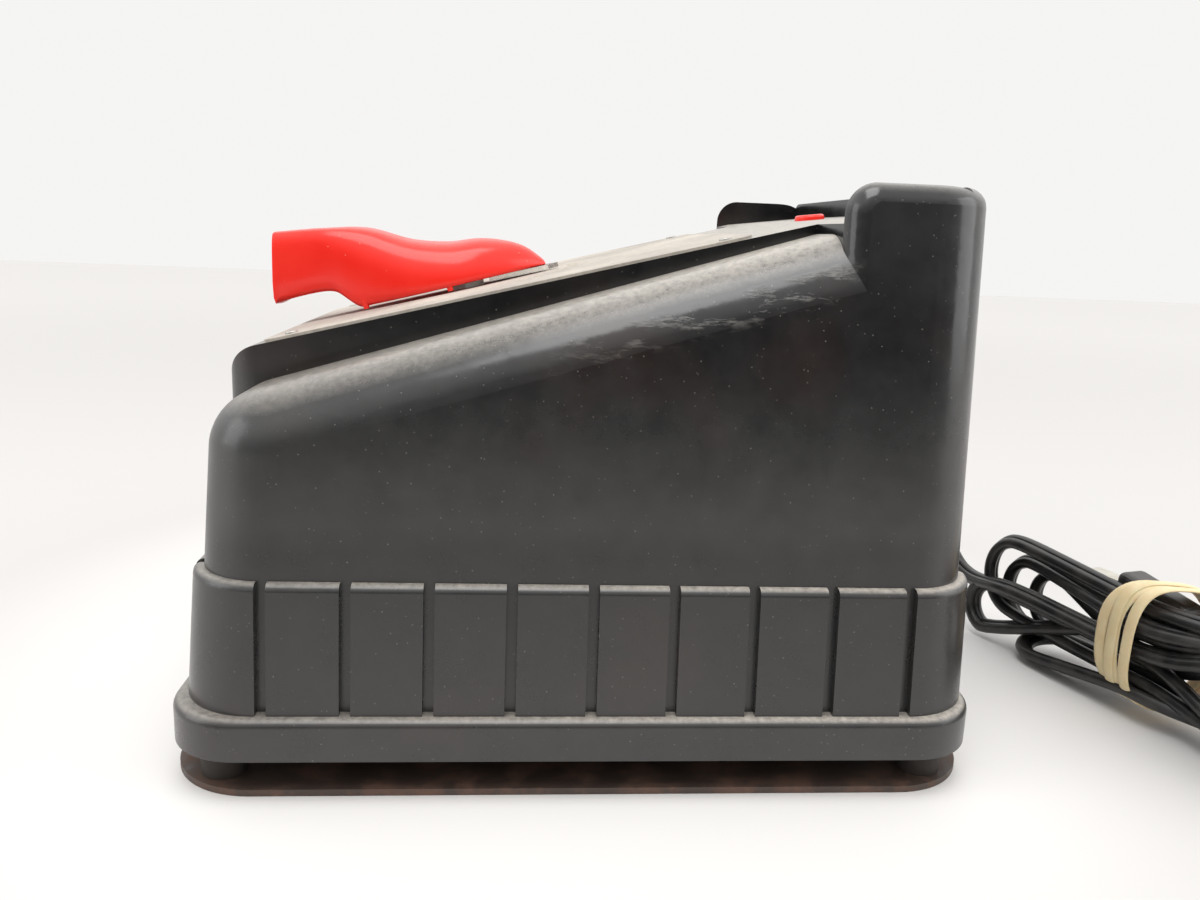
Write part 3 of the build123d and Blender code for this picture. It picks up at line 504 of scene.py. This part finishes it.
# The scuffs lie in a strip under the shoulder's upper edge, on the near side, from the middle to
# the rear cheek.
shoulder_slope = math.radians(16.7)
shoulder_rise = math.tan(shoulder_slope)
shoulder_front, shoulder_low = 0.100, 0.1118
shoulder_base = shoulder_low + shoulder_front * shoulder_rise
above = worked(cover_tree, "MULTIPLY_ADD", axes.outputs["Y"], -shoulder_rise, height)
above = worked(cover_tree, "SUBTRACT", above, shoulder_base)
streak_map = add(cover_tree, "Mapping", {0: cover_spot, 2: (shoulder_slope, 0, 0), 3: (1.0, 0.22, 1.0)})
streak = noise(cover_tree, streak_map.outputs[0], 0.0045, 7.0, 0.72)
streak_hit = ranged(cover_tree, streak, (0.52, 0.68), (0.0, 0.75))
strip_low = ranged(cover_tree, above, (-0.019, -0.0145), (0.0, 1.0))
strip_top = ranged(cover_tree, above, (-0.0075, -0.0105), (0.0, 1.0))
strip_side = ranged(cover_tree, axes.outputs["X"], (0.080, 0.090), (0.0, 1.0))
strip_rear = ranged(cover_tree, axes.outputs["Y"], (-0.02, 0.045), (0.0, 1.0))
strip_end = ranged(cover_tree, axes.outputs["Y"], (0.076, 0.068), (0.0, 1.0))
scuff = streak_hit
for limit in (strip_low, strip_top, strip_side, strip_rear, strip_end):
    scuff = worked(cover_tree, "MULTIPLY", scuff, limit)
tone = blended(cover_tree, scuff, tone, paint("#a09c96"))
dullness = worked(cover_tree, "MULTIPLY_ADD", dust_and_sheen, 0.30, 0.17)
dullness = worked(cover_tree, "MULTIPLY_ADD", grey_film_and_reflection, 0.35, dullness)
ripple = noise(cover_tree, cover_spot, 0.022, 2.0)
ripple_bump = add(cover_tree, "Bump", {"Strength": 0.25, "Distance": 0.0006, "Height": ripple})
grain_bump = add(cover_tree, "Bump", {"Strength": 0.10, "Distance": 0.0002, "Height": film,
                                      "Normal": ripple_bump.outputs[0]})
scuff_bump = add(cover_tree, "Bump", {"Strength": 0.5, "Distance": 0.0004, "Height": scuff,
                                      "Normal": grain_bump.outputs[0]})
feed(cover_tree, cover_shader,
     {"Base Color": tone, "Roughness": dullness, "Normal": scuff_bump.outputs[0]})
dress(nodes["cover"], aged_phenolic)
dress(nodes["breaker_body"], aged_phenolic)

# ---------------------------------------------------------------------------------------------
# Base plate, spacers and screws: a pressed steel plate, lacquered brown-black and rusting
# through, held on four rubber spacers by flat-headed screws from below.
rusty_lacquer, plate_tree, plate_shader = finish_of("rusty_lacquer", {"IOR": 1.5})
plate_place = add(plate_tree, "TexCoord").outputs["Object"]
rust = noise(plate_tree, plate_place, 0.012, 7.0, 0.7)
rust_bloom = ranged(plate_tree, rust, (0.46, 0.64), (0.0, 1.0))
plate_colour = blended(plate_tree, rust_bloom, paint("#463a34"), paint("#684e41"))
plate_rough = ranged(plate_tree, rust, (0.4, 0.65), (0.38, 0.8))
plate_bump = add(plate_tree, "Bump", {"Strength": 0.35, "Distance": 0.0003, "Height": rust})
feed(plate_tree, plate_shader,
     {"Base Color": plate_colour, "Roughness": plate_rough, "Normal": plate_bump.outputs[0]})
dress(nodes["base_plate"], rusty_lacquer)

old_rubber, rubber_tree, rubber_shader = finish_of("old_rubber", {"IOR": 1.5, "Roughness": 0.7})
rubber_place = add(rubber_tree, "TexCoord").outputs["Object"]
rubber_bloom = noise(rubber_tree, rubber_place, 0.004, 5.0)
rubber_colour = blended(rubber_tree, rubber_bloom, paint("#1c1816"), paint("#3a322d"))
feed(rubber_tree, rubber_shader, {"Base Color": rubber_colour})
for corner in ("front_left", "rear_left", "front_right", "rear_right"):
    dress(nodes["spacer_" + corner], old_rubber)

# Zinc-plated steel, for the base screws and for the small fastenings elsewhere.
zinc_plate, zinc_tree, zinc_shader = finish_of("zinc_plate", {"Metallic": 1.0})
zinc_place = add(zinc_tree, "TexCoord").outputs["Object"]
zinc_spangle = add(zinc_tree, "TexVoronoi", {"Vector": zinc_place, "Scale": 1 / 0.0016})
zinc_colour = blended(zinc_tree, zinc_spangle.outputs["Distance"], paint("#9d9c98"), paint("#c2c0ba"))
zinc_rough = ranged(zinc_tree, zinc_spangle.outputs["Distance"], (0.0, 0.8), (0.28, 0.5))
feed(zinc_tree, zinc_shader, {"Base Color": zinc_colour, "Roughness": zinc_rough})
for name in ("base_screws", "scale_rivets", "bushing_nut", "transformer_strap", "transformer_bolts",
             "diode_nuts"):
    dress(nodes[name], zinc_plate)

# ---------------------------------------------------------------------------------------------
# Scale plate: thin sheet steel in black stoving lacquer, riveted to the deck at its corners and
# greyed all over by dust. Plain cream tick marks are printed round the lever's sweep.
dusty_lacquer, scale_tree, scale_shader = finish_of("dusty_lacquer", {"IOR": 1.5})
scale_place = add(scale_tree, "TexCoord").outputs["Object"]
scale_dust = noise(scale_tree, scale_place, 0.0025, 7.0, 0.75)
scale_wipe = noise(scale_tree, scale_place, 0.040, 3.0)
scale_film = worked(scale_tree, "ADD", scale_dust, scale_wipe)
scale_film = ranged(scale_tree, scale_film, (0.80, 1.20), (0.55, 0.95))
scale_colour = blended(scale_tree, scale_film, paint("#34332f"), paint("#c3bbb0"))
scale_rough = ranged(scale_tree, scale_film, (0.3, 0.9), (0.45, 0.85))
feed(scale_tree, scale_shader, {"Base Color": scale_colour, "Roughness": scale_rough})
dress(nodes["scale_plate"], dusty_lacquer)

pivot = Vector(joints["lever_turn"]["pos_m"])
deck_normal = Vector(joints["lever_turn"]["axis"])
deck_tilt = math.atan2(-deck_normal.y, deck_normal.z)
on_deck = Matrix.Translation(pivot) @ Matrix.Rotation(deck_tilt, 4, "X")

cream_print, print_tree, print_shader = finish_of("cream_print", {"IOR": 1.5, "Roughness": 0.6})
print_place = add(print_tree, "TexCoord").outputs["Object"]
print_wear = noise(print_tree, print_place, 0.002, 5.0)
print_colour = blended(print_tree, print_wear, paint("#8d877b"), paint("#ddd6c4"))
feed(print_tree, print_shader, {"Base Color": print_colour})
plate_top, print_depth, tick_start = 0.8, 0.08, 39
tick_count, tick_step, lever_swing = 13, 10, 60
tick_mesh = bmesh.new()
for tick in range(tick_count):
    tick_length, tick_width = (7.0, 1.4) if tick % 2 == 0 else (4.0, 0.8)
    tick_middle = Vector((0, tick_start + tick_length / 2, plate_top + print_depth / 2)) * MM
    tick_turn = Matrix.Rotation(math.radians(tick_step * tick - lever_swing), 3, "Z")
    mark = bmesh.ops.create_cube(tick_mesh, size=1.0)["verts"]
    bmesh.ops.scale(tick_mesh, vec=Vector((tick_width, tick_length, print_depth)) * MM, verts=mark)
    bmesh.ops.translate(tick_mesh, vec=tick_middle, verts=mark)
    bmesh.ops.rotate(tick_mesh, cent=(0, 0, 0), matrix=tick_turn, verts=mark)
bmesh.ops.transform(tick_mesh, matrix=on_deck, verts=tick_mesh.verts)
scale_ticks = piece_from("scale_ticks", tick_mesh, cream_print, smooth=False)

# ---------------------------------------------------------------------------------------------
# Selector lever: one hollow moulding in glossy red plastic, open underneath. The handle's end is
# flat-sided, and it runs back through a saddle into a rounded hub that narrows to the tip.
red_plastic, red_tree, red_shader = finish_of(
    "red_plastic", {"IOR": 1.49, "Subsurface Weight": 0.08, "Subsurface Scale": 0.003})
red_place = add(red_tree, "TexCoord").outputs["Object"]
red_cloud = noise(red_tree, red_place, 0.014, 3.0)
red_colour = blended(red_tree, red_cloud, paint("#f4241a"), paint("#ff3325"))
red_specks = add(red_tree, "TexVoronoi", {"Vector": red_place, "Scale": 1 / 0.004})
red_dot = ranged(red_tree, red_specks.outputs["Distance"], (0.07, 0.04), (0.0, 0.5))
red_colour = blended(red_tree, red_dot, red_colour, paint("#f0b0a0"))
red_rough = ranged(red_tree, red_cloud, (0.3, 0.7), (0.15, 0.27))
feed(red_tree, red_shader, {"Base Color": red_colour, "Roughness": red_rough})


def follow(line, place):
    """The value at a place on a smooth line through a few (place, value) points."""
    last = len(line) - 1
    index = max([0] + [i for i in range(last) if line[i][0] <= place])

    def slope(i):
        before, after = line[max(i - 1, 0)], line[min(i + 1, last)]
        return (after[1] - before[1]) / (after[0] - before[0])

    (x0, y0), (x1, y1) = line[index], line[index + 1]
    span = x1 - x0
    t = min(1.0, max(0.0, (place - x0) / span))
    rise = (3 - 2 * t) * t * t
    bend = span * ((t ** 3 - 2 * t * t + t) * slope(index) + (t ** 3 - t * t) * slope(index + 1))
    return y0 + (y1 - y0) * rise + bend


# Each line runs from the handle's end to the tip, through (place along, value) points in
# millimetres: the top, the foot, the half width, and how square the section is.
lever_front, lever_tip = -62.0, 31.0
lean_end, lean_run, lever_lean = -46, 16, 6.4
lever_top = ((-62, 34.5), (-46, 32.5), (-30, 29.4), (-15.5, 22.2), (-2.5, 18.6), (9, 17.4), (19.5, 14.0),
             (25.5, 10.2), (31, 3.9))
lever_foot = ((-62, 9.4), (-50, 10.0), (-45, 8.8), (-41.5, 5.0), (-38, 1.9), (-34, 2.0), (6, 2.9),
              (31, 3.1))
lever_half = ((-62, 11.6), (-50, 12.2), (-24, 16.2), (-4, 17.3), (12, 13.0), (24, 6.6), (31, 1.6))
lever_square = ((-62, 9.0), (-46, 7.0), (-32, 3.6), (-14, 2.7), (31, 2.2))
# The grid's rows run from the middle of the handle's end, which they close, to the tip.
end_rows, body_rows, across_count = 6, 58, 28
end_scale = (0.0, 0.4, 0.8, 0.96, 0.99, 1.0)
lever_mesh = bmesh.new()
bmesh.ops.create_grid(lever_mesh, x_segments=end_rows + body_rows, y_segments=across_count, size=1.0)
for vertex in lever_mesh.verts:
    row = round((vertex.co.x + 1) / 2 * (end_rows + body_rows))
    turned = math.pi * (vertex.co.y + 1) / 2
    grow = end_scale[row] if row < end_rows else 1.0
    place = lever_front + (lever_tip - lever_front) * max(0, row - end_rows) / body_rows
    foot = follow(lever_foot, place)
    rise = follow(lever_top, place) - foot
    power = 2 / follow(lever_square, place)
    side = math.copysign(abs(math.cos(turned)) ** power, math.cos(turned))
    lift = abs(math.sin(turned)) ** power
    lean = lever_lean * max(0.0, min(1.0, (lean_end - place) / lean_run))
    vertex.co = Vector((
        side * follow(lever_half, place) * grow,
        place - lean * (1 - lift * grow),
        foot + rise * lift * grow,
    )) * MM
bmesh.ops.remove_doubles(lever_mesh, verts=lever_mesh.verts, dist=0.02 * MM)
bmesh.ops.recalc_face_normals(lever_mesh, faces=lever_mesh.faces)
highest = max(lever_mesh.faces, key=lambda face: face.calc_center_median().z)
if highest.normal.z < 0:
    bmesh.ops.reverse_faces(lever_mesh, faces=lever_mesh.faces)
bmesh.ops.transform(lever_mesh, matrix=on_deck, verts=lever_mesh.verts)
red_lever = piece_from("red_lever", lever_mesh, red_plastic, "lever")
lever_wall = 2.2 * MM
shell_wall = red_lever.modifiers.new("wall", "SOLIDIFY")
shell_wall.thickness = lever_wall
shell_wall.offset = -1
shell_wall.use_even_offset = False
rounding = red_lever.modifiers.new("rounding", "SUBSURF")
rounding.levels = 1
rounding.render_levels = 1
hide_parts("selector_lever")

# The boss inside the lever, which is pressed on the shaft, and four pips that steady the rim.
boss_radius, boss_length, boss_middle = 6 * MM, 14 * MM, 10.2
pip_narrow, pip_wide, pip_length, pip_middle = 1.0 * MM, 1.3 * MM, 3.4 * MM, 3.1
boss_mesh = bmesh.new()
boss = bmesh.ops.create_cone(boss_mesh, cap_ends=True, segments=32, radius1=boss_radius,
                             radius2=boss_radius, depth=boss_length)["verts"]
bmesh.ops.translate(boss_mesh, vec=Vector((0, 0, boss_middle)) * MM, verts=boss)
for along, out in ((-36.0, 13.0), (-5.0, 15.6)):
    for side in (-1, 1):
        pip = bmesh.ops.create_cone(boss_mesh, cap_ends=True, segments=16, radius1=pip_narrow,
                                    radius2=pip_wide, depth=pip_length)["verts"]
        bmesh.ops.translate(boss_mesh, vec=Vector((side * out, along, pip_middle)) * MM, verts=pip)
bmesh.ops.transform(boss_mesh, matrix=on_deck, verts=boss_mesh.verts)
lever_boss = piece_from("lever_boss", boss_mesh, red_plastic, "lever", smooth=False)

# The pointer under the tip is clear acrylic, cast and sawn, with polished faces.
clear_acrylic, acrylic_tree, acrylic_shader = finish_of(
    "clear_acrylic", {"IOR": 1.49, "Transmission Weight": 0.85, "Base Color": paint("#f4f2ec")})
acrylic_place = add(acrylic_tree, "TexCoord").outputs["Object"]
acrylic_haze = noise(acrylic_tree, acrylic_place, 0.003, 4.0)
acrylic_rough = ranged(acrylic_tree, acrylic_haze, (0.35, 0.7), (0.05, 0.35))
feed(acrylic_tree, acrylic_shader, {"Roughness": acrylic_rough})
dress(nodes["lever_pointer"], clear_acrylic)

# ---------------------------------------------------------------------------------------------
# Reset button: a small cap moulded in the same red plastic as the lever. A spring in the breaker
# holds it up in its hole at the rear of the deck.
dress(nodes["reset_button"], red_plastic)

# ---------------------------------------------------------------------------------------------
# Switch under the deck: a turned steel shaft in a brass bushing, a laminate disc with brass
# contact studs, and a springy brass wiper arm on a collar pinned to the shaft. The terminals in
# the rear recess are brass screws on a board of the same laminate.
turned_steel, steel_tree, steel_shader = finish_of("turned_steel", {"Metallic": 1.0})
steel_place = add(steel_tree, "TexCoord").outputs["Object"]
steel_lines = add(steel_tree, "Mapping", {0: steel_place, 3: (0.1, 0.1, 1.0)})
steel_turning = noise(steel_tree, steel_lines.outputs[0], 0.0005, 2.0)
steel_colour = blended(steel_tree, steel_turning, paint("#a5a39e"), paint("#c9c7c2"))
steel_rough = ranged(steel_tree, steel_turning, (0.3, 0.7), (0.2, 0.38))
feed(steel_tree, steel_shader, {"Base Color": steel_colour, "Roughness": steel_rough})
dress(nodes["lever_shaft"], turned_steel)

dull_brass, brass_tree, brass_shader = finish_of("dull_brass", {"Metallic": 1.0})
brass_place = add(brass_tree, "TexCoord").outputs["Object"]
brass_tarnish = noise(brass_tree, brass_place, 0.003, 5.0)
brass_colour = blended(brass_tree, brass_tarnish, paint("#8c6d3a"), paint("#cda864"))
brass_rough = ranged(brass_tree, brass_tarnish, (0.3, 0.7), (0.45, 0.25))
feed(brass_tree, brass_shader, {"Base Color": brass_colour, "Roughness": brass_rough})
for name in ("shaft_bushing", "contact_studs", "wiper_collar", "wiper_arm", "terminal_screws",
             "terminal_washers"):
    dress(nodes[name], dull_brass)

brown_laminate, board_tree, board_shader = finish_of("brown_laminate", {"IOR": 1.55, "Roughness": 0.45})
board_place = add(board_tree, "TexCoord").outputs["Object"]
board_weave = add(board_tree, "TexWave", {"Vector": board_place, "Scale": 1 / 0.004, "Distortion": 6.0,
                                          "Detail": 3.0})
board_colour = blended(board_tree, board_weave.outputs["Fac"], paint("#4a2a16"), paint("#6d4424"))
feed(board_tree, board_shader, {"Base Color": board_colour})
dress(nodes["contact_disc"], brown_laminate)
dress(nodes["terminal_board"], brown_laminate)

# ---------------------------------------------------------------------------------------------
# Transformer: a core of stacked silicon-steel sheets with lacquered edges, a natural nylon
# bobbin, and two windings, the inner one wrapped in varnished paper.
core_sheets, core_tree, core_shader = finish_of("core_sheets", {"Metallic": 0.6})
core_place = add(core_tree, "TexCoord").outputs["Object"]
core_lines = add(core_tree, "TexWave", {"Vector": core_place, "Scale": 0.5 / 0.0010, "Distortion": 0.4},
                 bands_direction="Y")
core_colour = blended(core_tree, core_lines.outputs["Fac"], paint("#2a2726"), paint("#56524f"))
core_rough = ranged(core_tree, core_lines.outputs["Fac"], (0.0, 1.0), (0.6, 0.4))
feed(core_tree, core_shader, {"Base Color": core_colour, "Roughness": core_rough})
dress(nodes["transformer_core"], core_sheets)

natural_nylon, nylon_tree, nylon_shader = finish_of(
    "natural_nylon", {"IOR": 1.53, "Subsurface Weight": 0.1})
nylon_place = add(nylon_tree, "TexCoord").outputs["Object"]
nylon_tone = noise(nylon_tree, nylon_place, 0.010, 3.0)
nylon_colour = blended(nylon_tree, nylon_tone, paint("#c9bb9a"), paint("#e0d5b8"))
nylon_rough = ranged(nylon_tree, nylon_tone, (0.3, 0.7), (0.4, 0.55))
feed(nylon_tree, nylon_shader, {"Base Color": nylon_colour, "Roughness": nylon_rough})
dress(nodes["winding_bobbin"], natural_nylon)

varnished_paper, paper_tree, paper_shader = finish_of("varnished_paper", {"IOR": 1.5, "Roughness": 0.5})
paper_place = add(paper_tree, "TexCoord").outputs["Object"]
paper_fibre = noise(paper_tree, paper_place, 0.002, 6.0)
paper_colour = blended(paper_tree, paper_fibre, paint("#6f5330"), paint("#a98450"))
feed(paper_tree, paper_shader, {"Base Color": paper_colour})
dress(nodes["primary_winding"], varnished_paper)

enamelled_copper, copper_tree, copper_shader = finish_of("enamelled_copper", {"Metallic": 0.85})
copper_place = add(copper_tree, "TexCoord").outputs["Object"]
copper_turns = add(copper_tree, "TexWave", {"Vector": copper_place, "Scale": 0.5 / 0.0016,
                                            "Distortion": 0.3}, bands_direction="Z")
copper_colour = blended(copper_tree, copper_turns.outputs["Fac"], paint("#4a2010"), paint("#b8683a"))
copper_rough = ranged(copper_tree, copper_turns.outputs["Fac"], (0.0, 1.0), (0.5, 0.25))
feed(copper_tree, copper_shader, {"Base Color": copper_colour, "Roughness": copper_rough})
dress(nodes["secondary_winding"], enamelled_copper)

# ---------------------------------------------------------------------------------------------
# Rectifier: a heat sink bent from mill-finish aluminium sheet, with the rolling lines running
# along it, and four steel-cased diodes bolted through it.
mill_aluminium, sink_tree, sink_shader = finish_of("mill_aluminium", {"Metallic": 1.0})
sink_place = add(sink_tree, "TexCoord").outputs["Object"]
sink_map = add(sink_tree, "Mapping", {0: sink_place, 3: (0.05, 1.0, 1.0)})
sink_rolling = noise(sink_tree, sink_map.outputs[0], 0.0009, 3.0)
sink_colour = blended(sink_tree, sink_rolling, paint("#a9aaab"), paint("#cfd0d0"))
sink_rough = ranged(sink_tree, sink_rolling, (0.3, 0.7), (0.3, 0.5))
feed(sink_tree, sink_shader, {"Base Color": sink_colour, "Roughness": sink_rough})
dress(nodes["heat_sink"], mill_aluminium)
dress(nodes["diodes"], turned_steel)
